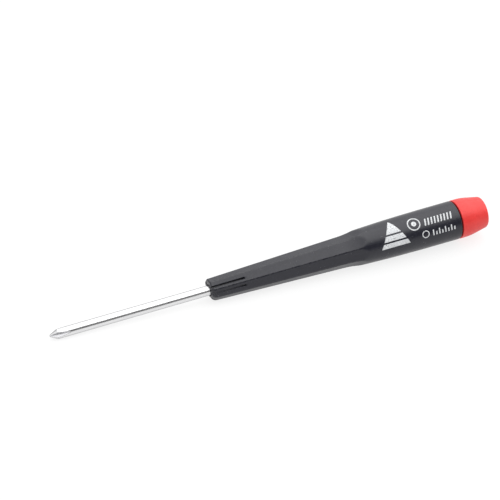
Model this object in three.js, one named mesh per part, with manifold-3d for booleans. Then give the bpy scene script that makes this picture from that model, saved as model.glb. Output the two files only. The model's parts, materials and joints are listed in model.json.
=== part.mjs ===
// A precision screwdriver with a three-wing point, a moulded plastic handle and a free-spinning end cap.
// Lengths are millimetres. Each piece is made in the tool's own frame: the tool's axis is +X, x is 0 at the
// point and grows towards the cap, and +Z is up. The finished tool is then laid on the plane z = 0.

import * as THREE from "three";
import { mergeVertices } from "three/addons/utils/BufferGeometryUtils.js";
import Module from "manifold-3d";

// ---------- Driving dimensions ----------

const TOOL_LENGTH = 140.5;
const MOULDING_GAP = 0.3; // between the steel and the plastic that is moulded or pressed round it
const ROUND_SIDES = 24; // flats on each turned surface, one of them facing straight down
const ARC_STEPS = 3; // half the number of straight steps in each arc of a turned outline

const BLADE = {
  radius: 1.5,
  exposed: 49.5,
  tang: 28.5, // length inside the handle
  pointRadius: 0.34, // of the blunt end
  pointLength: 2.2, // of the cone behind it
};

const WINGS = {
  grooves: 3,
  firstGroove: 22, // degrees round the axis, as radial() counts them
  grooveAngle: 100, // degrees between the two walls of a groove
  floorAtPoint: 0.3, // distance of a groove's floor from the axis at x = 0
  runOut: 6, // where the floor reaches the surface of the rod
};

const CRIMPS = {
  starts: [64, 72],
  length: 4,
  width: 4.2,
  thickness: 1.1,
};

const GRIP = {
  sides: 8,
  firstFlat: 9.7, // degrees round the axis, as radial() counts them
  topFlat: 2, // the number of the flat that faces up, counted from the first
  cornerAtNose: 3.46, // distance from the axis to a corner of the octagon at the nose
  cornerAtEnd: 4.9, // the same where the flats stop being straight
  straightEnd: 92.4,
  runOutRadius: 31, // of the scoop in which each flat ends
};

const HANDLE = {
  end: 130.7,
  noseFlatRadius: 2.4,
  noseRounding: 1.3,
  blank: [ // outline of the round body that the flats are cut into, as x and radius
    [92.4, 5.27],
    [99.6, 5.52],
    [107.5, 5.82],
    [117.5, 5.99],
    [130.4, 6.03],
  ],
  rearChamfer: 0.3,
};

const NOSE_SLOTS = {
  fromTopFlat: [50.4, 86], // degrees to each side of the middle of the top flat
  width: 0.55,
  length: 10.5,
  floor: 2.2, // distance of the slot's floor from the axis
};

const CAP = {
  start: 131.1,
  radius: 6.05,
  rimChamfer: 0.2,
  cylinderLength: 1.6,
  bendRadius: 17.5, // of the arc between the cylinder and the cone
  coneSlope: 0.2, // loss of radius for each millimetre of length
  cornerRadius: 0.65,
  hubRadius: 3.65,
  hubStart: 128.5,
  runningClearance: 0.4, // round the hub and round the pin
};

const PIN = {
  radius: 1,
  start: 119,
  headStart: 134.4,
  headRadius: 1.7,
  headLength: 1.5,
  endChamfer: 0.3,
};

// The tool lies on the wings behind its point and on the front of the handle's round body.
const FRONT_REST = [BLADE.pointLength, BLADE.radius];
const REAR_REST = HANDLE.blank[1];
const REST_PITCH = Math.atan2(REAR_REST[1] - FRONT_REST[1], REAR_REST[0] - FRONT_REST[0]);

// ---------- Solids ----------

const wasm = await Module();
wasm.setup();

// A three.js geometry as a manifold-3d solid.
function solid(geometry) {
  const bare = geometry.clone();
  bare.deleteAttribute("normal");
  bare.deleteAttribute("uv");
  const merged = mergeVertices(bare);
  return new wasm.Manifold(
    new wasm.Mesh({
      numProp: 3,
      vertProperties: new Float32Array(merged.getAttribute("position").array),
      triVerts: new Uint32Array(merged.getIndex().array),
    }),
  );
}

// A manifold-3d solid as a named mesh with its own material.
function meshOf(name, body, look) {
  const result = body.getMesh();
  const geometry = new THREE.BufferGeometry();
  geometry.setAttribute("position", new THREE.BufferAttribute(result.vertProperties, 3));
  geometry.setIndex(new THREE.BufferAttribute(result.triVerts, 1));
  const faceted = geometry.toNonIndexed();
  faceted.computeVertexNormals();
  const mesh = new THREE.Mesh(faceted, new THREE.MeshStandardMaterial(look));
  mesh.name = name;
  return mesh;
}

// A solid turned about the tool's axis from an outline of x and radius that starts and ends on the axis.
// The flats of the turned surface lie at the stated radius.
function turned(outline) {
  const toCorners = 1 / Math.cos(Math.PI / ROUND_SIDES);
  const profile = outline.getPoints(ARC_STEPS).map((p) => new THREE.Vector2(p.y * toCorners, p.x));
  const geometry = new THREE.LatheGeometry(profile, ROUND_SIDES, Math.PI / ROUND_SIDES);
  geometry.rotateZ(-Math.PI / 2);
  return solid(geometry);
}

// A plain turned cylinder between two places on the axis.
function rod(start, end, radius) {
  const outline = new THREE.Path();
  outline.moveTo(start, 0);
  outline.lineTo(start, radius);
  outline.lineTo(end, radius);
  outline.lineTo(end, 0);
  return turned(outline);
}

// Turns a geometry whose outward side is +Z to face a direction round the tool's axis.
// The direction is an elevation in degrees: 0 faces -Y, 90 faces +Z, 180 faces +Y.
function radial(geometry, degrees) {
  return geometry.rotateX(THREE.MathUtils.degToRad(90 - degrees));
}

// ---------- Blade ----------

function pointedRod() {
  const outline = new THREE.Path();
  outline.moveTo(0, 0);
  outline.lineTo(0, BLADE.pointRadius);
  outline.lineTo(BLADE.pointLength, BLADE.radius);
  outline.lineTo(BLADE.exposed + BLADE.tang, BLADE.radius);
  outline.lineTo(BLADE.exposed + BLADE.tang, 0);
  return turned(outline);
}

// A V-shaped groove whose floor climbs from near the axis at the point to the surface of the rod.
function wingGroove(degrees) {
  const depth = 3;
  const overrun = 2;
  const climb = Math.atan2(BLADE.radius - WINGS.floorAtPoint, WINGS.runOut);
  const halfWidth = depth * Math.tan(THREE.MathUtils.degToRad(WINGS.grooveAngle / 2));
  const section = new THREE.Shape();
  section.moveTo(0, 0);
  section.lineTo(halfWidth, depth);
  section.lineTo(-halfWidth, depth);
  section.closePath();
  const groove = new THREE.ExtrudeGeometry(section, {
    depth: WINGS.runOut + 2 * overrun,
    bevelEnabled: false,
  });
  groove.translate(0, 0, -overrun);
  groove.rotateX(Math.PI / 2); // the opening now faces +Z and the floor runs along -Y
  groove.rotateZ(Math.PI / 2); // the floor now runs along +X
  groove.rotateY(-climb);
  groove.translate(0, 0, WINGS.floorAtPoint);
  return solid(radial(groove, degrees));
}

// The flattened pairs of wings that key the tang in the handle, or the pockets round them.
function crimps(gap) {
  return CRIMPS.starts.map((start) => {
    const wing = new THREE.BoxGeometry(
      CRIMPS.length + 2 * gap,
      CRIMPS.width + 2 * gap,
      CRIMPS.thickness + 2 * gap,
    );
    wing.translate(start + CRIMPS.length / 2, 0, 0);
    return solid(wing);
  });
}

function bladeSolid() {
  let body = pointedRod();
  for (let i = 0; i < WINGS.grooves; i++) {
    body = body.subtract(wingGroove(WINGS.firstGroove + (i * 360) / WINGS.grooves));
  }
  for (const wing of crimps(0)) {
    body = body.add(wing);
  }
  return body;
}

// ---------- Handle ----------

function flatAngle(index) {
  return GRIP.firstFlat + (index * 360) / GRIP.sides;
}

function roundBlank() {
  const nose = BLADE.exposed;
  const [[, firstRadius]] = HANDLE.blank;
  const slope = (firstRadius - HANDLE.noseFlatRadius - HANDLE.noseRounding) / (GRIP.straightEnd - nose);
  const outline = new THREE.Path();
  outline.moveTo(nose, 0);
  outline.lineTo(nose, HANDLE.noseFlatRadius);
  outline.absarc(
    nose + HANDLE.noseRounding,
    HANDLE.noseFlatRadius,
    HANDLE.noseRounding,
    Math.PI,
    Math.PI / 2 + Math.atan(slope),
    true,
  );
  for (const [x, radius] of HANDLE.blank) {
    outline.lineTo(x, radius);
  }
  outline.lineTo(HANDLE.end, HANDLE.blank.at(-1)[1] - HANDLE.rearChamfer);
  outline.lineTo(HANDLE.end, 0);
  return turned(outline);
}

// What is cut away above one flat: a straight tapered stretch that ends in a scoop.
function flatCutter(degrees) {
  const apothem = Math.cos(Math.PI / GRIP.sides);
  const low = GRIP.cornerAtNose * apothem;
  const high = GRIP.cornerAtEnd * apothem;
  const slope = (high - low) / (GRIP.straightEnd - BLADE.exposed);
  const tilt = Math.atan(slope);
  const overrun = 4;
  const clear = 9; // farther from the axis than any part of the handle
  const width = 16;
  const centre = new THREE.Vector2(
    GRIP.straightEnd - GRIP.runOutRadius * Math.sin(tilt),
    high + GRIP.runOutRadius * Math.cos(tilt),
  );
  const sweep = Math.acos((centre.y - clear) / GRIP.runOutRadius);
  const outline = new THREE.Shape();
  outline.moveTo(BLADE.exposed - overrun, clear);
  outline.lineTo(BLADE.exposed - overrun, low - slope * overrun);
  outline.absarc(
    centre.x,
    centre.y,
    GRIP.runOutRadius,
    -Math.PI / 2 + tilt,
    -Math.PI / 2 + sweep,
    false,
  );
  const cutter = new THREE.ExtrudeGeometry(outline, {
    depth: width,
    curveSegments: 12,
    bevelEnabled: false,
  });
  cutter.translate(0, 0, -width / 2);
  cutter.rotateX(Math.PI / 2);
  return solid(radial(cutter, degrees));
}

// One of the narrow slots left in the nose by the pins that hold the blade while the handle is moulded.
function noseSlot(degrees) {
  const overrun = 1;
  const half = NOSE_SLOTS.width / 2;
  const outline = new THREE.Shape();
  outline.moveTo(BLADE.exposed - overrun, -half);
  outline.lineTo(BLADE.exposed + NOSE_SLOTS.length - half, -half);
  outline.absarc(
    BLADE.exposed + NOSE_SLOTS.length - half,
    0,
    half,
    -Math.PI / 2,
    Math.PI / 2,
    false,
  );
  outline.lineTo(BLADE.exposed - overrun, half);
  outline.closePath();
  const slot = new THREE.ExtrudeGeometry(outline, {
    depth: GRIP.cornerAtEnd,
    curveSegments: 6,
    bevelEnabled: false,
  });
  slot.translate(0, 0, NOSE_SLOTS.floor);
  return solid(radial(slot, degrees));
}

function handleSolid() {
  const overrun = 1;
  let body = roundBlank();
  for (let i = 0; i < GRIP.sides; i++) {
    body = body.subtract(flatCutter(flatAngle(i)));
  }
  for (const degrees of NOSE_SLOTS.fromTopFlat) {
    body = body.subtract(noseSlot(flatAngle(GRIP.topFlat) - degrees));
    body = body.subtract(noseSlot(flatAngle(GRIP.topFlat) + degrees));
  }
  const tangEnd = BLADE.exposed + BLADE.tang + MOULDING_GAP;
  body = body.subtract(rod(BLADE.exposed - overrun, tangEnd, BLADE.radius + MOULDING_GAP));
  for (const pocket of crimps(MOULDING_GAP)) {
    body = body.subtract(pocket);
  }
  const hubSeat = CAP.hubStart - CAP.runningClearance;
  body = body.subtract(rod(hubSeat, HANDLE.end + overrun, CAP.hubRadius + CAP.runningClearance));
  body = body.subtract(rod(PIN.start - MOULDING_GAP, hubSeat + overrun, PIN.radius + MOULDING_GAP));
  return body;
}

// ---------- Pivot pin and cap ----------

function pinSolid() {
  const headEnd = PIN.headStart + PIN.headLength;
  const outline = new THREE.Path();
  outline.moveTo(PIN.start, 0);
  outline.lineTo(PIN.start, PIN.radius - PIN.endChamfer);
  outline.lineTo(PIN.start + PIN.endChamfer, PIN.radius);
  outline.lineTo(PIN.headStart, PIN.radius);
  outline.lineTo(PIN.headStart, PIN.headRadius);
  outline.lineTo(PIN.headStart + PIN.headLength / 2, PIN.headRadius);
  outline.lineTo(headEnd, PIN.radius);
  outline.lineTo(headEnd, 0);
  return turned(outline);
}

// The cap's outside: a hub, a short cylinder, an arc, a cone and a rounded corner up to the flat end.
function capBlank() {
  const coneAngle = Math.atan(CAP.coneSlope);
  const bendStart = CAP.start + CAP.cylinderLength;
  const bendEnd = bendStart + CAP.bendRadius * Math.sin(coneAngle);
  const radiusAtBendEnd = CAP.radius - CAP.bendRadius * (1 - Math.cos(coneAngle));
  const cornerX = TOOL_LENGTH - CAP.cornerRadius;
  const cornerY =
    radiusAtBendEnd - (cornerX - bendEnd) * CAP.coneSlope - CAP.cornerRadius / Math.cos(coneAngle);
  const outline = new THREE.Path();
  outline.moveTo(CAP.hubStart, 0);
  outline.lineTo(CAP.hubStart, CAP.hubRadius);
  outline.lineTo(CAP.start, CAP.hubRadius);
  outline.lineTo(CAP.start, CAP.radius - CAP.rimChamfer);
  outline.lineTo(CAP.start + CAP.rimChamfer, CAP.radius);
  outline.absarc(
    bendStart,
    CAP.radius - CAP.bendRadius,
    CAP.bendRadius,
    Math.PI / 2,
    Math.PI / 2 - coneAngle,
    true,
  );
  outline.absarc(cornerX, cornerY, CAP.cornerRadius, Math.PI / 2 - coneAngle, 0, true);
  outline.lineTo(TOOL_LENGTH, 0);
  return turned(outline);
}

function capSolid() {
  const overrun = 1;
  const gap = CAP.runningClearance;
  const headStart = PIN.headStart - gap;
  const headEnd = PIN.headStart + PIN.headLength + gap;
  return capBlank()
    .subtract(rod(CAP.hubStart - overrun, headEnd, PIN.radius + gap))
    .subtract(rod(headStart, headEnd, PIN.headRadius + gap));
}

// ---------- The screwdriver ----------

const tool = new THREE.Group();
tool.add(
  meshOf("blade", bladeSolid(), { color: 0xd6d7da, roughness: 0.22, metalness: 1 }),
  meshOf("handle", handleSolid(), { color: 0x26272b, roughness: 0.55, metalness: 0 }),
  meshOf("pivot_pin", pinSolid(), { color: 0x9a9ca0, roughness: 0.35, metalness: 1 }),
  meshOf("cap", capSolid(), { color: 0xd6231f, roughness: 0.5, metalness: 0 }),
);
tool.rotation.y = -REST_PITCH;

const screwdriver = new THREE.Group();
screwdriver.add(tool);

// The origin is at the middle of the bottom of the tool's bounding box.
const box = new THREE.Box3().setFromObject(screwdriver, true);
const middle = box.getCenter(new THREE.Vector3());
tool.position.set(-middle.x, -middle.y, -box.min.z);

export default screwdriver;
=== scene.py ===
import json
import math

import bmesh
import bpy
import numpy as np
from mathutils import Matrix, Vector


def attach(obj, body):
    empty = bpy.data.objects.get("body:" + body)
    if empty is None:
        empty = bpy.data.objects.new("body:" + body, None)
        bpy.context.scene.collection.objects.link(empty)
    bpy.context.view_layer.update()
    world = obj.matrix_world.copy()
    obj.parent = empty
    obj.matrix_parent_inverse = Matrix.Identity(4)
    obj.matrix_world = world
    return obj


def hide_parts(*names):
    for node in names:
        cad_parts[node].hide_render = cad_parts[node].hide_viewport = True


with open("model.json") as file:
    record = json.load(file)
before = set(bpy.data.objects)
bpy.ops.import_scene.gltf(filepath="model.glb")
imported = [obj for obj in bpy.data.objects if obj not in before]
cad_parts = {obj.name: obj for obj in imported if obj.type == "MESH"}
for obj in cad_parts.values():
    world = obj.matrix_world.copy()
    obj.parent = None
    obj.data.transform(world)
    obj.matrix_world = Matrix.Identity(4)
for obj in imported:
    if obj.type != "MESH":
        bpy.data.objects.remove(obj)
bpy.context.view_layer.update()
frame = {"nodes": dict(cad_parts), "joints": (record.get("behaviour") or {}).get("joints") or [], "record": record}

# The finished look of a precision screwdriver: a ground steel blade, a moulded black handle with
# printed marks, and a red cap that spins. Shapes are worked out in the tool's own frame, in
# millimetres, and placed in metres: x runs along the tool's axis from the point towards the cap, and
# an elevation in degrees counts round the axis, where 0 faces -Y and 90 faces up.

MM = 0.001

# ---------- The tool's frame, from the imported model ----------

MOUNTS = {mount["name"]: mount for mount in frame["record"]["mounts"]}
SPIN = frame["joints"][0]
AXIS = Vector(SPIN["axis"]).normalized()
POINT = Vector(MOUNTS["drive_point"]["pos_m"])
SIDE = Vector((0, -1, 0))
TOP = SIDE.cross(AXIS)
TOOL_LENGTH = (Vector(MOUNTS["cap_end_face"]["pos_m"]) - POINT).dot(AXIS) / MM
CAP_START = (Vector(SPIN["pos_m"]) - POINT).dot(AXIS) / MM

# ---------- Driving dimensions, millimetres ----------

ROD_RADIUS = 1.5
POINT_RADIUS = 0.34
POINT_LENGTH = 2.2
POINT_EDGE = 0.03  # length of the rounding round the blunt end
CONE_EDGE = 0.12  # softens the bend between the cone and the rod
GROOVE_ANGLES = (22, 142, 262)
GROOVE_HALF_ANGLE = math.radians(50)
GROOVE_FLOOR_AT_POINT = 0.3
GROOVE_RUN_OUT = 6.0
GROOVE_BOTTOM = 0.12  # softens the bottom of a groove
WING_EDGE = 0.06  # softens the wings' edges
GROUND_FADE = 0.05  # depth at which the ground finish is complete
TANG_END = 78.0
CRIMP_STARTS = (64.0, 72.0)
CRIMP_LENGTH = 4.0
CRIMP_HALF_WIDTH = 2.1
CRIMP_HALF_THICKNESS = 0.55
FIT = 0.02  # clearance drawn between pieces that touch

NOSE = 49.5
HANDLE_END = CAP_START - 0.4
FLATS = 8
HALF_FLAT = 180 / FLATS  # degrees from the middle of a flat to its corner
FIRST_FLAT = 9.7
CORNER_AT_NOSE = 3.46
CORNER_AT_END = 4.9
STRAIGHT_END = 92.4
RUN_OUT_RADIUS = 31.0
CORNER_FILLET = 0.8
RUN_OUT_EDGE = 0.16  # softens the edge between a flat and the round body
BODY_RADII = ((50, 4.3), (92.4, 5.27), (99.6, 5.52), (107.5, 5.82), (117.5, 5.99), (130.7, 6.03))
BODY_BEND = 2.0  # softens the bends between those stations
REAR_ROUNDING = 0.25
SHARPEST = 115  # elevation at which the nose's front edge is sharpest; opposite it is bluntest
ROUNDING_LENGTH = (0.35, 1.65)  # of the front edge, where it is sharpest and where it is bluntest
ROUNDING_DEPTH = (0.3, 1.25)
MOUTH_GAP = 0.4  # width of the recess round the rod in the nose's front face
MOUTH_DEPTH = 0.75

# Each slot's elevation, its flare at the nose, the width of its lower lip, and its floor's distance
# from the axis.
SLOTS = (
    (13.7, 0.05, 0.16, 3.0),
    (49.3, 0.05, 0.09, 2.2),
    (150.1, 0.3, 0.07, 2.2),
    (185.7, 0.15, 0.07, 3.0),
)
SLOT_HALF_WIDTH = 0.275
SLOT_END = 60.1
SLOT_LIP = 0.07
FLARE_LENGTH = 0.45

HUB_RADIUS = 3.65
HUB_START = 128.5
HUB_CORNER = 0.25
HUB_CLEARANCE = 0.3
PIN_RADIUS = 1.0
PIN_START = 119.0
PIN_CLEARANCE = 0.35  # round the pin and its head, inside the cap
PIN_HEAD_RADIUS = 1.7
HEAD_BORE_START = 134.0
HEAD_BORE_END = 136.2

CAP_RADIUS = 6.05
CAP_RIM = 0.2
CAP_CYLINDER = 1.6
CAP_BEND_RADIUS = 17.5
CAP_SLOPE = 0.2  # loss of radius for each millimetre of length
CAP_CORNER = 0.65


# ---------- Placing points ----------

def place(x, radius, elevation):
    """Tool coordinates in millimetres and degrees, as arrays, to points of the row frame in metres."""
    angle = np.radians(elevation)
    x, radius, angle = np.broadcast_arrays(x, radius, angle)
    out = np.array(POINT)[None] + np.outer((x * MM).ravel(), np.array(AXIS))
    out = out + np.outer((radius * np.cos(angle) * MM).ravel(), np.array(SIDE))
    out = out + np.outer((radius * np.sin(angle) * MM).ravel(), np.array(TOP))
    return out.reshape(x.shape + (3,))


def link_mesh(name, points, faces):
    mesh = bpy.data.meshes.new(name)
    mesh.from_pydata([tuple(p) for p in points], [], faces)
    mesh.validate()
    mesh.update()
    piece = bpy.data.objects.new(name, mesh)
    bpy.context.scene.collection.objects.link(piece)
    mesh.shade_smooth()
    return piece


def skin(name, grid):
    """A closed piece from rows of points that go once round the axis, with a fan at each end."""
    rows, columns = grid.shape[:2]
    points = list(grid.reshape(-1, 3))
    faces = []
    for i in range(rows - 1):
        for j in range(columns):
            k = (j + 1) % columns
            faces.append((i * columns + j, (i + 1) * columns + j, (i + 1) * columns + k, i * columns + k))
    for row, flip in ((0, False), (rows - 1, True)):
        pole = len(points)
        points.append(grid[row].mean(axis=0))
        for j in range(columns):
            a, b = row * columns + j, row * columns + (j + 1) % columns
            faces.append((pole, b, a) if flip else (pole, a, b))
    return link_mesh(name, points, faces)


def weighted_normals(piece):
    modifier = piece.modifiers.new("weighted_normals", "WEIGHTED_NORMAL")
    modifier.weight = 60
    return piece


def set_attribute(piece, name, values):
    """A value for each vertex; the vertices past the end of the values get 0."""
    full = np.zeros(len(piece.data.vertices), np.float32)
    full[: len(values)] = values
    attribute = piece.data.attributes.new(name, "FLOAT", "POINT")
    attribute.data.foreach_set("value", full)


def arc(centre_x, centre_r, radius, start, end, steps):
    """Points (x, r) on an arc, angles in degrees from the +x direction."""
    angles = np.radians(np.linspace(start, end, steps + 1))
    return [(centre_x + radius * math.cos(a), centre_r + radius * math.sin(a)) for a in angles]


def spaced(*stretches):
    """Joined evenly spaced values from (start, end, step) stretches, without repeats."""
    values = []
    for start, end, step in stretches:
        count = max(1, round((end - start) / step))
        values.extend(np.linspace(start, end, count + 1)[:-1])
    values.append(stretches[-1][1])
    return np.array(values)


def soft_minimum(a, b, width):
    """The smaller of two values, blended where they are less than the width apart."""
    blend = np.clip(0.5 + 0.5 * (b - a) / width, 0, 1)
    return b * (1 - blend) + a * blend - width * blend * (1 - blend)


# ---------- Blade ----------

def crimp_radius(x, elevation, grow):
    """Reach of the tang's wings from the axis, or 0 away from them."""
    angle = np.radians(elevation)
    across = np.maximum(np.abs(np.cos(angle)), 1e-6)
    along = np.maximum(np.abs(np.sin(angle)), 1e-6)
    reach = np.minimum((CRIMP_HALF_WIDTH + grow) / across, (CRIMP_HALF_THICKNESS + grow) / along)
    inside = np.zeros_like(x)
    for start in CRIMP_STARTS:
        inside = np.maximum(inside, (x > start - grow) & (x < start + CRIMP_LENGTH + grow))
    return reach * inside


def tang_stretches(start, end):
    """Stretches of rows from start to end, close together where a pair of wings starts or ends."""
    margin, coarse, close, last = 0.2, 1.2, 0.05, 0.6
    stretches = []
    for crimp in CRIMP_STARTS:
        for edge in (crimp, crimp + CRIMP_LENGTH):
            stretches.append((start, edge - margin, coarse))
            stretches.append((edge - margin, edge + margin, close))
            start = edge + margin
    stretches.append((start, end, last))
    return stretches


def rod_cone(x):
    return POINT_RADIUS + (ROD_RADIUS - POINT_RADIUS) * x / POINT_LENGTH


def rod_radius(x, elevation):
    """The blade's surface: a cylinder with a blunt cone in front, ground into three wings."""
    radius = soft_minimum(rod_cone(x), ROD_RADIUS, CONE_EDGE)
    floor = GROOVE_FLOOR_AT_POINT + (ROD_RADIUS - GROOVE_FLOOR_AT_POINT) * x / GROOVE_RUN_OUT
    narrowest, far_away = 0.05, 99.0
    for groove in GROOVE_ANGLES:
        turn = np.radians(elevation - groove)
        valley = np.sqrt(np.sin(turn) ** 2 + GROOVE_BOTTOM ** 2) - GROOVE_BOTTOM
        opening = np.cos(turn) - valley / math.tan(GROOVE_HALF_ANGLE)
        wall = np.where(opening > narrowest, floor / np.maximum(opening, narrowest), far_away)
        radius = soft_minimum(radius, wall, WING_EDGE)
    return radius


def make_blade():
    elevation = np.arange(0, 360, 2.0)
    # Close rows along the ground wings, and wider ones behind them.
    x = spaced((0, 7.6, 0.08), (7.6, 9, 0.3), *tang_stretches(9, TANG_END))
    grid_x, grid_e = np.meshgrid(x, elevation, indexing="ij")
    radius = np.maximum(rod_radius(grid_x, grid_e), crimp_radius(grid_x, grid_e, 0))
    # Two extra rows round the edge of the blunt end.
    tip = np.stack([radius[0] * share for share in (0.55, 0.9)])
    radius = np.vstack([tip, radius])
    grid_x = np.vstack([np.zeros_like(tip), grid_x])
    grid_x[2] += POINT_EDGE
    grid_e = np.vstack([grid_e[:2], grid_e])
    blade = skin("steel_blade", place(grid_x, radius, grid_e))
    depth = np.minimum(ROD_RADIUS, rod_cone(grid_x)) - radius
    set_attribute(blade, "ground", np.clip(depth / GROUND_FADE, 0, 1).ravel())
    return weighted_normals(blade)


# ---------- Handle ----------

def nose_rounding(elevation):
    """Length and depth of the front edge's rounding."""
    share = 0.5 - 0.5 * np.cos(np.radians(elevation - SHARPEST))
    share = share ** 2 * (3 - 2 * share)
    return tuple(low + (high - low) * share for low, high in (ROUNDING_LENGTH, ROUNDING_DEPTH))


def apothem(x):
    """Distance of a flat from the axis: a straight taper, then a scoop."""
    shrink = math.cos(math.pi / FLATS)
    low, high = CORNER_AT_NOSE * shrink, CORNER_AT_END * shrink
    slope = (high - low) / (STRAIGHT_END - NOSE)
    straight = low + slope * (x - NOSE)
    tilt = math.atan(slope)
    centre_x = STRAIGHT_END - RUN_OUT_RADIUS * math.sin(tilt)
    centre_r = high + RUN_OUT_RADIUS * math.cos(tilt)
    # The limit on the reach lies far outside the round body, where the scoop no longer shows.
    reach = np.clip(x - centre_x, 0, RUN_OUT_RADIUS * 0.9)
    scoop = centre_r - np.sqrt(RUN_OUT_RADIUS ** 2 - reach ** 2)
    return np.where(x < STRAIGHT_END, straight, scoop)


def octagon(x, off_flat):
    """Radius of the eight-sided section with filleted corners, by the angle from a flat's middle."""
    half = math.pi / FLATS
    flat = apothem(x)
    angle = np.abs(np.radians(off_flat))
    plane = flat / np.cos(angle)
    centre = (flat - CORNER_FILLET) / math.cos(half)
    tangent = np.arctan((flat - CORNER_FILLET) * math.tan(half) / flat)
    beyond = np.clip(half - angle, 0, None)
    inside = np.maximum(CORNER_FILLET ** 2 - (centre * np.sin(beyond)) ** 2, 0)
    fillet = centre * np.cos(beyond) + np.sqrt(inside)
    return np.where(angle > tangent, np.minimum(fillet, plane), plane)


def body_radius(x):
    """Radius of the round body that the flats are cut into."""
    stations, radii = zip(*BODY_RADII)
    before, at, after = (np.interp(x + shift, stations, radii) for shift in (-BODY_BEND, 0, BODY_BEND))
    return (before + 2 * at + after) / 4


def from_flat_middle(elevation):
    """Degrees from the middle of the nearest flat."""
    return (elevation - FIRST_FLAT + HALF_FLAT) % (2 * HALF_FLAT) - HALF_FLAT


def handle_surface(x, elevation):
    """Radius of the handle's outside, without its slots."""
    radius = soft_minimum(octagon(x, from_flat_middle(elevation)), body_radius(x), RUN_OUT_EDGE)
    length, depth = nose_rounding(elevation)
    into = np.clip(1 - (x - NOSE) / length, 0, 1)
    return radius - depth * (1 - np.sqrt(1 - into ** 2))


def corner_wear(x, elevation):
    """1 on the octagon's corners and round the nose's front edge, fading to 0 beside them."""
    to_corner = HALF_FLAT - np.abs(from_flat_middle(elevation))
    from_corner = np.radians(to_corner) * handle_surface(x, elevation)
    corner_width, corners_end, corners_fade = 0.22, 99.0, 3.0
    on_corner = np.exp(-(from_corner / corner_width) ** 2) * np.clip((corners_end - x) / corners_fade, 0, 1)
    edge_middle, edge_width, edge_wear = NOSE + 0.5, 0.6, 0.8
    on_nose = np.exp(-((x - edge_middle) / edge_width) ** 2)
    return np.maximum(on_corner, on_nose * edge_wear)


# Columns within half a flat, in degrees from its middle: the slot's floor, foot, lip and edge, even
# steps, and close steps round the corner.
SLOT_COLUMNS = (0.0, 2.4, 4.2, 5.2, 6.5)
EVEN_COLUMNS = (8.0, 9.5, 11.0, 12.5, 14.0, 15.5, 17.0, 18.4, 19.6)
CORNER_COLUMNS = (20.5, 21.2, 21.8, 22.2, HALF_FLAT)
SLOT_REACH = 7  # degrees to each side of a slot, past the last of its own columns
SLOT_ROW = 0.02  # length of the rows that close a slot


def handle_columns():
    """Elevations of the columns, with each one's place in its flat before the slots draw it aside."""
    half = SLOT_COLUMNS + EVEN_COLUMNS + CORNER_COLUMNS
    steps = np.array([-a for a in reversed(half[1:-1])] + list(half))
    drawn = np.clip((HALF_FLAT - np.abs(steps)) / (HALF_FLAT - EVEN_COLUMNS[0]), 0, 1)
    elevation = []
    for flat in range(FLATS):
        middle = FIRST_FLAT + 2 * HALF_FLAT * flat
        shift = sum(slot[0] - middle for slot in SLOTS if abs(slot[0] - middle) < HALF_FLAT / 2)
        elevation.append(middle + steps + shift * drawn)
    return np.concatenate(elevation), np.tile(steps, FLATS)


def slot_points(along, slot, sign):
    """Across and height, from a slot's middle plane and from the axis, of its columns at one x."""
    slot_angle, flare, lower_lip, floor = slot
    lip = lower_lip if sign < 0 else SLOT_LIP
    middle = float(handle_surface(along, slot_angle))
    beyond = min(max(along - SLOT_END + SLOT_HALF_WIDTH, 0) / SLOT_HALF_WIDTH, 0.94)
    half = SLOT_HALF_WIDTH * math.sqrt(1 - beyond ** 2)
    half += flare * math.exp(-(along - NOSE) / FLARE_LENGTH)
    across = (0.0, half * 0.5, half, half, half + lip)
    if along > SLOT_END + SLOT_ROW / 2:
        sunk = middle - (SLOT_END + SLOT_LIP + SLOT_ROW - along)
        return across, (sunk, sunk, sunk, sunk, middle)
    floor = min(floor, middle - lip)
    return across, (floor, floor, floor, middle - lip, middle)


def cut_slot(x, elevation, radius, off_flat, slot):
    """Moves the columns at a slot to its lips, walls and floor, in the rows that the slot reaches."""
    near = np.abs((elevation[0] - slot[0] + 180) % 360 - 180) < SLOT_REACH
    for j in np.nonzero(near)[0]:
        step = int(np.argmin(np.abs(np.array(SLOT_COLUMNS) - abs(off_flat[j]))))
        sign = math.copysign(1, off_flat[j])
        for i in np.nonzero(x[:, j] < SLOT_END + SLOT_LIP + 1.5 * SLOT_ROW)[0]:
            across, height = (values[step] for values in slot_points(x[i, j], slot, sign))
            radius[i, j] = math.hypot(across, height)
            elevation[i, j] = slot[0] + sign * math.degrees(math.atan2(across, height))


def ring(x, radius, elevation):
    """A row of points round the axis: its x, radius and elevation as arrays one row high."""
    shape = (1, len(elevation))
    return np.full(shape, float(x)), np.broadcast_to(np.asarray(radius, float), shape), elevation[None]


def socket_rings(columns, front_radius, front_elevation):
    """From the closed end of the tang's socket forward to the edge of the nose."""
    bore, mouth = ROD_RADIUS + FIT, ROD_RADIUS + MOUTH_GAP
    rings = [ring(TANG_END + FIT, 0.6, columns)]
    forward = [(end, start, -step) for start, end, step in tang_stretches(NOSE + 0.8, TANG_END + FIT)]
    for x in spaced(*reversed(forward)):
        socket = np.maximum(bore, crimp_radius(np.full(len(columns), x), columns, FIT))
        rings.append(ring(x, socket, columns))
    for x, radius in ((NOSE + MOUTH_DEPTH, bore), (NOSE + MOUTH_DEPTH - 0.05, mouth - 0.1),
                      (NOSE + 0.08, mouth - 0.06), (NOSE, mouth)):
        rings.append(ring(x, radius, columns))
    for share in (0.35, 0.7, 0.93):
        radius = mouth + (front_radius - mouth) * share
        rings.append(ring(NOSE, radius, columns + (front_elevation - columns) * share))
    return rings


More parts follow.
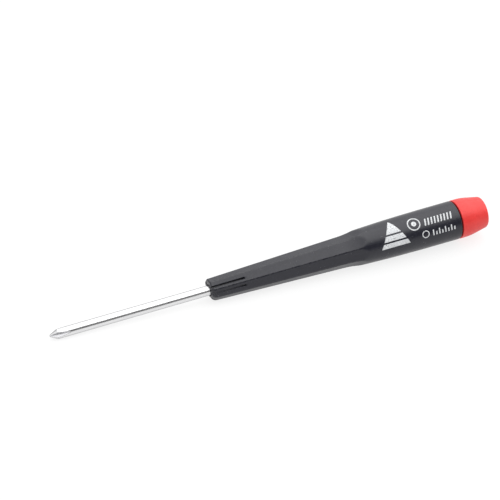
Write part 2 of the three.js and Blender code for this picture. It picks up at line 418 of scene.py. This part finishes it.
def rear_rings(columns):
    """From the rear edge back into the hub's seat and the pin's hole."""
    edge_radius = float(body_radius(HANDLE_END)) - REAR_ROUNDING
    seat_radius = HUB_RADIUS + HUB_CLEARANCE
    seat = HUB_START - HUB_CLEARANCE
    hole = PIN_RADIUS + FIT
    outline = arc(HANDLE_END - REAR_ROUNDING, edge_radius, REAR_ROUNDING, 80, 0, 5)
    outline += [(HANDLE_END, 5.2), (HANDLE_END, 4.6), (HANDLE_END, seat_radius + 0.12)]
    outline += [(HANDLE_END - 0.03, seat_radius + 0.03), (HANDLE_END - 0.12, seat_radius)]
    outline += [(seat + 1.2, seat_radius), (seat + 0.1, seat_radius), (seat, seat_radius - 0.1)]
    outline += [(seat, 2.4), (seat, hole + 0.1), (seat - 0.1, hole)]
    outline += [(PIN_START + 0.2, hole), (PIN_START - FIT, hole), (PIN_START - FIT, 0.4)]
    return [ring(x, radius, columns) for x, radius in outline]


def make_handle():
    columns, off_flat = handle_columns()
    slot_bend = SLOT_END - SLOT_HALF_WIDTH
    lip_end = SLOT_END + SLOT_LIP + SLOT_ROW
    # Close rows at the nose's rounding, at the slots' ends and where the flats run out.
    x = spaced(
        (NOSE + 0.004, NOSE + 0.1, 0.02), (NOSE + 0.1, NOSE + 2.1, 0.1), (NOSE + 2.1, slot_bend, 0.4),
        (slot_bend, SLOT_END, 0.06), (SLOT_END, SLOT_END + SLOT_ROW, SLOT_ROW),
        (SLOT_END + SLOT_ROW, lip_end, 0.035), (lip_end, 92.0, 0.6),
        (92.0, 101.5, 0.11), (101.5, HANDLE_END - REAR_ROUNDING, 0.7),
    )
    grid_x, grid_e = np.meshgrid(x, columns, indexing="ij")
    radius = handle_surface(grid_x, grid_e)
    wear = corner_wear(grid_x, grid_e)
    for slot in SLOTS:
        cut_slot(grid_x, grid_e, radius, off_flat, slot)
    front = socket_rings(columns, radius[0], grid_e[0])
    parts = front + [(grid_x, radius, grid_e)] + rear_rings(columns)
    all_x, all_r, all_e = (np.vstack([part[i] for part in parts]) for i in range(3))
    handle = skin("moulded_handle", place(all_x, all_r, all_e))
    all_wear = np.zeros(all_x.shape)
    all_wear[len(front):len(front) + len(x)] = wear
    set_attribute(handle, "wear", all_wear.ravel())
    return weighted_normals(handle)


# ---------- Cap ----------

def cap_bore():
    """The inside of the cap, from the closed end of the head's bore forward to the hub's face."""
    bore, head_bore = PIN_RADIUS + PIN_CLEARANCE, PIN_HEAD_RADIUS + PIN_CLEARANCE
    outline = [(HEAD_BORE_END, 0.6), (HEAD_BORE_END, head_bore - 0.2), (HEAD_BORE_END - 0.2, head_bore)]
    outline += [(HEAD_BORE_START + 0.1, head_bore), (HEAD_BORE_START, head_bore - 0.1)]
    outline += [(HEAD_BORE_START, bore + 0.1), (HEAD_BORE_START - 0.1, bore)]
    outline += [(HUB_START + 0.2, bore), (HUB_START, bore + 0.15), (HUB_START, 2.4)]
    outline += [(HUB_START, HUB_RADIUS - 0.3)]
    outline += arc(HUB_START + HUB_CORNER, HUB_RADIUS - HUB_CORNER, HUB_CORNER, 180, 90, 4)
    return outline


def cap_outside():
    """The outside of the cap, from the root of the hub to the middle of the end face."""
    slope = math.atan(CAP_SLOPE)
    bend_start = CAP_START + CAP_CYLINDER
    bend_end = bend_start + CAP_BEND_RADIUS * math.sin(slope)
    bend_end_radius = CAP_RADIUS - CAP_BEND_RADIUS * (1 - math.cos(slope))
    corner_x = TOOL_LENGTH - CAP_CORNER
    corner_r = bend_end_radius - (corner_x - bend_end) * CAP_SLOPE - CAP_CORNER / math.cos(slope)
    cone_end = corner_x + CAP_CORNER * math.sin(slope)
    cone_end_radius = corner_r + CAP_CORNER * math.cos(slope)
    outline = [(CAP_START - 0.25, HUB_RADIUS), (CAP_START - 0.08, HUB_RADIUS + 0.02)]
    outline += [(CAP_START, HUB_RADIUS + 0.12), (CAP_START, 4.6), (CAP_START, 5.3)]
    outline += arc(CAP_START + CAP_RIM, CAP_RADIUS - CAP_RIM, CAP_RIM, 180, 90, 6)
    outline += [(CAP_START + 0.4, CAP_RADIUS), (CAP_START + 0.8, CAP_RADIUS)]
    outline += arc(bend_start, CAP_RADIUS - CAP_BEND_RADIUS, CAP_BEND_RADIUS, 90, 90 - math.degrees(slope), 8)
    for share in (0.25, 0.5, 0.75, 0.95):
        radius = bend_end_radius + (cone_end_radius - bend_end_radius) * share
        outline.append((bend_end + (cone_end - bend_end) * share, radius))
    outline += arc(corner_x, corner_r, CAP_CORNER, 90 - math.degrees(slope), 0, 10)
    outline += [(TOOL_LENGTH, radius) for radius in (corner_r - 0.15, 3.0, 2.0, 1.0)]
    return outline


def make_cap():
    along, radius = np.array(cap_bore() + cap_outside()).T[:, :, None]
    elevation = np.arange(0, 360, 2.5)[None]
    return weighted_normals(skin("spinning_cap", place(along, radius, elevation)))


# ---------- Printed marks ----------

PRINT_HEIGHT = 0.012
PRINT_DEPTH = 0.05  # how far the marks reach into the handle
PRINT_SIDE = 37.2  # elevation of the middle of the print

# Places and sizes of the marks along the tool, and in arc length up from the middle of the print.
WEDGE_BASE = (103.5, 113.0)
WEDGE_APEX = 108.3
WEDGE_ARC = (-2.9, 5.9)
WEDGE_BANDS = ((0.0, 0.17), (0.23, 0.42), (0.48, 0.985))  # as parts of the way from base to apex
LARGE_RING = ((115.4, 2.35), 2.1, 0.36)  # centre, radius, width
DOT = ((115.4, 2.35), 0.8, 0.79)
SMALL_RING = ((118.3, -1.75), 1.2, 0.3)
BARS = (9, 118.6, 1.08, 0.46)  # number, start, pitch, width
BAR_ARC = (0.85, 3.05)
BAR_LEAN = 0.55
TICKS = (8, 120.7, 1.02, 0.4)
TICK_FOOT = -2.75
TICK_TOPS = (-0.95, -1.65)  # tall and short, in turn


def print_patch(corners, across, along):
    """A grid between four (x, arc length) corners, as its x and its arc length in millimetres."""
    u = np.linspace(0, 1, across + 1)[:, None]
    v = np.linspace(0, 1, along + 1)[None]
    a, b, c, d = (np.array(p, float) for p in corners)
    return [(a[i] * (1 - u) + b[i] * u) * (1 - v) + (d[i] * (1 - u) + c[i] * u) * v for i in range(2)]


def print_ring(centre, radius, width, steps):
    """A grid round a ring, as its x and its arc length."""
    angles = np.radians(np.linspace(0, 360, steps + 1))[None]
    rings = np.array([radius, radius - width])[:, None]
    x = centre[0] + rings * np.cos(angles)
    arc_length = centre[1] + rings * np.sin(angles)
    return x, arc_length


def print_strip(start, end, low, high, steps, lean=0.0):
    """A bar between two places along the tool, leaning towards the cap by a length at its top."""
    corners = ((start, low), (end, low), (end + lean, high), (start + lean, high))
    return print_patch(corners, 6, steps)


def print_layout():
    """The marks as grids of x and arc length from the print side's middle."""
    patches = []
    bottom, top = WEDGE_ARC
    for low, high in WEDGE_BANDS:
        corners = []
        for share, side in ((low, 0), (low, 1), (high, 1), (high, 0)):
            x = WEDGE_BASE[side] + (WEDGE_APEX - WEDGE_BASE[side]) * share
            corners.append((x, bottom + (top - bottom) * share))
        patches.append(print_patch(corners, 24, 10))
    patches.append(print_ring(*LARGE_RING, 64))
    patches.append(print_ring(*DOT, 24))
    count, first, pitch, width = BARS
    for k in range(count):
        start = first + k * pitch
        patches.append(print_strip(start, start + width, *BAR_ARC, 8, BAR_LEAN))
    patches.append(print_ring(*SMALL_RING, 40))
    count, first, pitch, width = TICKS
    for k in range(count):
        start = first + k * pitch
        patches.append(print_strip(start, start + width, TICK_FOOT, TICK_TOPS[k % 2], 6))
    return patches


def border(rows, columns):
    """Indices of a grid's border, once round."""
    edge = [(i, 0) for i in range(rows)]
    edge += [(rows - 1, j) for j in range(1, columns)]
    edge += [(i, columns - 1) for i in range(rows - 2, -1, -1)]
    edge += [(0, j) for j in range(columns - 2, 0, -1)]
    return edge


def make_print():
    """The marks as closed thin patches that stand a little out of the handle."""
    points, faces = [], []
    for x, arc_length in print_layout():
        x, arc_length = np.broadcast_arrays(x, arc_length)
        elevation = PRINT_SIDE + np.degrees(arc_length / body_radius(x))
        surface = handle_surface(x, elevation)
        rows, columns = x.shape
        first = len(points)
        for lift in (PRINT_HEIGHT, -PRINT_DEPTH):
            points.extend(place(x, surface + lift, elevation).reshape(-1, 3))

        def at(i, j, layer):
            return first + (layer * rows + i) * columns + j

        for i in range(rows - 1):
            for j in range(columns - 1):
                faces.append((at(i, j, 0), at(i + 1, j, 0), at(i + 1, j + 1, 0), at(i, j + 1, 0)))
                faces.append((at(i, j, 1), at(i, j + 1, 1), at(i + 1, j + 1, 1), at(i + 1, j, 1)))
        edge = border(rows, columns)
        for (i, j), (k, m) in zip(edge, edge[1:] + edge[:1]):
            faces.append((at(i, j, 0), at(i, j, 1), at(k, m, 1), at(k, m, 0)))
    marks = link_mesh("printed_marks", points, faces)
    tidy_marks(marks)
    return marks


def tidy_marks(marks):
    """Closes the rings' seams and turns every face outwards."""
    work = bmesh.new()
    work.from_mesh(marks.data)
    bmesh.ops.remove_doubles(work, verts=work.verts, dist=1e-7)
    same_corners = {}
    for face in work.faces:
        key = tuple(sorted(v.index for v in face.verts))
        same_corners.setdefault(key, []).append(face)
    doubled = [f for group in same_corners.values() if len(group) > 1 for f in group]
    bmesh.ops.delete(work, geom=doubled, context="FACES")
    bmesh.ops.recalc_face_normals(work, faces=work.faces)
    work.to_mesh(marks.data)
    work.free()
    marks.data.shade_flat()


# ---------- Materials ----------

def new_material(name):
    material = bpy.data.materials.new(name)
    material.use_nodes = True
    nodes = material.node_tree.nodes
    return material, nodes, material.node_tree.links, nodes["Principled BSDF"]


def noise(nodes, links, vector, scale, detail=3.0, roughness=0.55):
    node = nodes.new("ShaderNodeTexNoise")
    node.inputs["Scale"].default_value = scale
    node.inputs["Detail"].default_value = detail
    node.inputs["Roughness"].default_value = roughness
    links.new(vector, node.inputs["Vector"])
    return node.outputs["Fac"]


def remap(nodes, links, value, *limits):
    """A value mapped and clamped from one range to another: from low, from high, to low, to high."""
    node = nodes.new("ShaderNodeMapRange")
    links.new(value, node.inputs["Value"])
    for socket, limit in zip(("From Min", "From Max", "To Min", "To Max"), limits):
        node.inputs[socket].default_value = limit
    return node.outputs["Result"]


def blend_colours(nodes, links, factor, first, second):
    node = nodes.new("ShaderNodeMix")
    node.data_type = "RGBA"
    links.new(factor, node.inputs["Factor"])
    for socket, colour in ((node.inputs[6], first), (node.inputs[7], second)):  # the colour sockets
        if isinstance(colour, bpy.types.NodeSocket):
            links.new(colour, socket)
        else:
            socket.default_value = (*colour, 1)
    return node.outputs[2]


def combine(nodes, links, operation, first, second):
    node = nodes.new("ShaderNodeMath")
    node.operation = operation
    for socket, value in zip(node.inputs, (first, second)):
        if isinstance(value, bpy.types.NodeSocket):
            links.new(value, socket)
        else:
            socket.default_value = value
    return node.outputs[0]


def bump(nodes, links, height, distance, strength=1.0, below=None):
    node = nodes.new("ShaderNodeBump")
    node.inputs["Strength"].default_value = strength
    node.inputs["Distance"].default_value = distance
    links.new(height, node.inputs["Height"])
    if below is not None:
        links.new(below, node.inputs["Normal"])
    return node.outputs["Normal"]


def tool_coordinates(nodes, links, scale=(1, 1, 1)):
    """Object coordinates turned so that X runs along the tool."""
    coordinates = nodes.new("ShaderNodeTexCoord").outputs["Object"]
    turn = nodes.new("ShaderNodeMapping")
    turn.inputs["Rotation"].default_value = (0, math.asin(AXIS.z), 0)
    links.new(coordinates, turn.inputs["Vector"])
    stretch = nodes.new("ShaderNodeMapping")
    stretch.inputs["Scale"].default_value = scale
    links.new(turn.outputs["Vector"], stretch.inputs["Vector"])
    return stretch.outputs["Vector"]


def attribute(nodes, name):
    node = nodes.new("ShaderNodeAttribute")
    node.attribute_name = name
    return node.outputs["Fac"]


def black_plastic():
    material, nodes, links, shader = new_material("black_moulded_plastic")
    place_on = tool_coordinates(nodes, links)
    broad = noise(nodes, links, place_on, 260, 3)
    mottle = noise(nodes, links, place_on, 1300, 4, 0.65)
    grain = noise(nodes, links, place_on, 5200, 2, 0.6)
    worn = attribute(nodes, "wear")
    base = blend_colours(nodes, links, remap(nodes, links, mottle, 0.3, 0.7, 0, 1),
                         (0.0065, 0.0068, 0.0135), (0.0120, 0.0122, 0.0215))
    scuffed = combine(nodes, links, "MULTIPLY", worn, remap(nodes, links, mottle, 0.42, 0.62, 0, 1))
    scuffed = combine(nodes, links, "MULTIPLY", scuffed, 0.55)
    colour = blend_colours(nodes, links, scuffed, base, (0.05, 0.05, 0.053))
    dust = noise(nodes, links, place_on, 2900, 1, 0.5)
    dust = remap(nodes, links, dust, 0.765, 0.80, 0, 1)
    colour = blend_colours(nodes, links, dust, colour, (0.22, 0.22, 0.23))
    links.new(colour, shader.inputs["Base Color"])
    rough = remap(nodes, links, broad, 0.3, 0.7, 0.29, 0.37)
    rough = combine(nodes, links, "SUBTRACT", rough, combine(nodes, links, "MULTIPLY", worn, 0.07))
    links.new(rough, shader.inputs["Roughness"])
    shader.inputs["Specular IOR Level"].default_value = 0.5
    waves = bump(nodes, links, mottle, 0.00006, 0.35)
    links.new(bump(nodes, links, grain, 0.00003, 0.5, waves), shader.inputs["Normal"])
    return material


def red_plastic():
    material, nodes, links, shader = new_material("red_moulded_plastic")
    place_on = tool_coordinates(nodes, links)
    broad = noise(nodes, links, place_on, 330, 3)
    mottle = noise(nodes, links, place_on, 1500, 4, 0.6)
    grain = noise(nodes, links, place_on, 5600, 2, 0.6)
    colour = blend_colours(nodes, links, remap(nodes, links, mottle, 0.3, 0.7, 0, 1),
                           (0.76, 0.029, 0.025), (0.84, 0.042, 0.037))
    deeper = remap(nodes, links, broad, 0.35, 0.75, 0, 0.4)
    colour = blend_colours(nodes, links, deeper, colour, (0.68, 0.024, 0.022))
    links.new(colour, shader.inputs["Base Color"])
    links.new(remap(nodes, links, broad, 0.3, 0.7, 0.38, 0.5), shader.inputs["Roughness"])
    waves = bump(nodes, links, mottle, 0.00005, 0.3)
    links.new(bump(nodes, links, grain, 0.00003, 0.45, waves), shader.inputs["Normal"])
    return material


def bright_steel():
    material, nodes, links, shader = new_material("bright_plated_steel")
    streaks = noise(nodes, links, tool_coordinates(nodes, links, (260, 9000, 9000)), 1.0, 4, 0.6)
    rings = noise(nodes, links, tool_coordinates(nodes, links, (9000, 500, 500)), 1.0, 3, 0.6)
    broad = noise(nodes, links, tool_coordinates(nodes, links), 400, 3)
    ground = attribute(nodes, "ground")
    colour = blend_colours(nodes, links, remap(nodes, links, streaks, 0.3, 0.7, 0, 1),
                           (0.70, 0.70, 0.705), (0.79, 0.79, 0.795))
    colour = blend_colours(nodes, links, ground, colour, (0.60, 0.60, 0.615))
    links.new(colour, shader.inputs["Base Color"])
    shader.inputs["Metallic"].default_value = 1.0
    shader.inputs["Specular Tint"].default_value = (0.45, 0.45, 0.46, 1)
    rough = remap(nodes, links, broad, 0.3, 0.7, 0.21, 0.28)
    rough = combine(nodes, links, "ADD", rough, combine(nodes, links, "MULTIPLY", ground, 0.14))
    links.new(rough, shader.inputs["Roughness"])
    drawn = bump(nodes, links, streaks, 0.000004, 0.5)
    links.new(bump(nodes, links, rings, 0.000003, 0.4, drawn), shader.inputs["Normal"])
    return material


def pin_steel():
    material, nodes, links, shader = new_material("turned_pin_steel")
    rings = noise(nodes, links, tool_coordinates(nodes, links, (7000, 300, 300)), 1.0, 3, 0.6)
    colour = blend_colours(nodes, links, rings, (0.48, 0.48, 0.49), (0.62, 0.62, 0.63))
    links.new(colour, shader.inputs["Base Color"])
    shader.inputs["Metallic"].default_value = 1.0
    links.new(remap(nodes, links, rings, 0.3, 0.7, 0.25, 0.4), shader.inputs["Roughness"])
    links.new(bump(nodes, links, rings, 0.000005, 0.5), shader.inputs["Normal"])
    return material


def white_ink():
    material, nodes, links, shader = new_material("worn_white_ink")
    place_on = tool_coordinates(nodes, links)
    thin = noise(nodes, links, place_on, 2600, 4, 0.7)
    patchy = noise(nodes, links, place_on, 700, 3)
    wear = combine(nodes, links, "MULTIPLY", remap(nodes, links, thin, 0.5, 0.66, 0, 1),
                   remap(nodes, links, patchy, 0.42, 0.62, 0.1, 1))
    colour = blend_colours(nodes, links, remap(nodes, links, patchy, 0.3, 0.7, 0, 1),
                           (0.60, 0.615, 0.63), (0.78, 0.795, 0.81))
    colour = blend_colours(nodes, links, wear, colour, (0.12, 0.12, 0.13))
    links.new(colour, shader.inputs["Base Color"])
    links.new(remap(nodes, links, patchy, 0.3, 0.7, 0.45, 0.6), shader.inputs["Roughness"])
    links.new(bump(nodes, links, thin, 0.00001, 0.4), shader.inputs["Normal"])
    return material


def floor_paper():
    material, nodes, links, shader = new_material("pale_floor")
    coordinates = nodes.new("ShaderNodeTexCoord").outputs["Object"]
    fibres = noise(nodes, links, coordinates, 900, 3)
    links.new(blend_colours(nodes, links, fibres, (0.155, 0.155, 0.155), (0.165, 0.165, 0.165)),
              shader.inputs["Base Color"])
    shader.inputs["Roughness"].default_value = 0.9
    shader.inputs["Emission Color"].default_value = (1, 1, 1, 1)
    shader.inputs["Emission Strength"].default_value = 0.82
    shader.inputs["Specular IOR Level"].default_value = 0.1
    return material


# ---------- Stage, light and camera ----------

FLOOR_HALF = 3.0  # metres

# Elevation in degrees, from the front's horizon over the top to the back's, and brightness there: a
# broad softbox above a dark gap.
SKY = (
    (0, 0.18), (40, 0.18), (52, 2.55), (80, 2.8), (118, 2.6), (146, 1.45), (168, 1.1), (180, 0.7),
)
SKY_PEAK = max(level for elevation, level in SKY)
SOFTBOX_SHADE = 0.42  # brightness of the softbox's end over the point, as a part of the rest
SOFTBOX_EDGE = (-0.25, 0.22)  # the X of a direction where that end gives way to the rest
SKY_ENDS = 1.1  # brightness to the left and right
ENDS_START = (0.72, 0.92)  # the size of a direction's X where the ends take over

LENS = 144.0
CAMERA_AZIMUTH = -23.284
CAMERA_ELEVATION = 34.853
CAMERA_DISTANCE = 0.594  # metres
CAMERA_TARGET = (65.06, -5.0, 6.42)  # millimetres along the tool, towards -Y and upwards from its axis


def make_floor():
    h = FLOOR_HALF
    floor = link_mesh("floor", [(-h, -h, 0), (h, -h, 0), (h, h, 0), (-h, h, 0)], [(0, 1, 2, 3)])
    floor.data.materials.append(floor_paper())


def make_world():
    world = bpy.data.worlds.new("studio")
    bpy.context.scene.world = world
    world.use_nodes = True
    nodes, links = world.node_tree.nodes, world.node_tree.links
    direction = nodes.new("ShaderNodeTexCoord").outputs["Generated"]
    split = nodes.new("ShaderNodeSeparateXYZ")
    links.new(direction, split.inputs["Vector"])
    front = combine(nodes, links, "MULTIPLY", split.outputs["Y"], -1.0)
    height = combine(nodes, links, "MAXIMUM", split.outputs["Z"], 0.0)
    turn = combine(nodes, links, "DIVIDE", combine(nodes, links, "ARCTAN2", height, front), math.pi)
    ramp = nodes.new("ShaderNodeValToRGB")
    links.new(turn, ramp.inputs["Fac"])
    ramp.color_ramp.interpolation = "EASE"
    stops = ramp.color_ramp.elements
    for i, (elevation, level) in enumerate(SKY):
        stop = stops[i] if i < 2 else stops.new(elevation / 180)
        stop.position = elevation / 180
        stop.color = (*[level / SKY_PEAK] * 3, 1)
    shade = remap(nodes, links, split.outputs["X"], *SOFTBOX_EDGE, SOFTBOX_SHADE * SKY_PEAK, SKY_PEAK)
    middle = combine(nodes, links, "MULTIPLY", ramp.outputs["Color"], shade)
    sideways = combine(nodes, links, "ABSOLUTE", split.outputs["X"], 0.0)
    kept = remap(nodes, links, sideways, *ENDS_START, 1, 0)
    ends = remap(nodes, links, sideways, *ENDS_START, 0, SKY_ENDS)
    level = combine(nodes, links, "ADD", combine(nodes, links, "MULTIPLY", middle, kept), ends)
    nodes["Background"].inputs["Color"].default_value = (1, 1, 1, 1)
    links.new(level, nodes["Background"].inputs["Strength"])


def make_camera():
    azimuth, elevation = math.radians(CAMERA_AZIMUTH), math.radians(CAMERA_ELEVATION)
    back = Vector((math.sin(azimuth) * math.cos(elevation), -math.cos(azimuth) * math.cos(elevation),
                   math.sin(elevation)))
    along, aside, above = (value * MM for value in CAMERA_TARGET)
    target = POINT + AXIS * along + SIDE * aside + TOP * above
    data = bpy.data.cameras.new("camera")
    data.lens = LENS
    data.clip_start = 0.01
    camera = bpy.data.objects.new("camera", data)
    bpy.context.scene.collection.objects.link(camera)
    camera.location = target + back * CAMERA_DISTANCE
    camera.rotation_euler = back.to_track_quat("Z", "Y").to_euler()
    bpy.context.scene.camera = camera


# ---------- Assembly ----------

def dress(piece, material, body, node=None):
    piece.data.materials.clear()
    piece.data.materials.append(material)
    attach(piece, body)
    if node:
        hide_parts(node)


make_camera()
make_world()
make_floor()
bpy.context.scene.view_settings.view_transform = "Standard"

dress(make_blade(), bright_steel(), "driver", "blade")
dress(make_handle(), black_plastic(), "driver", "handle")
dress(make_cap(), red_plastic(), "cap", "cap")
dress(make_print(), white_ink(), "driver")
pin = frame["nodes"]["pivot_pin"]
pin.data.materials.clear()
pin.data.materials.append(pin_steel())
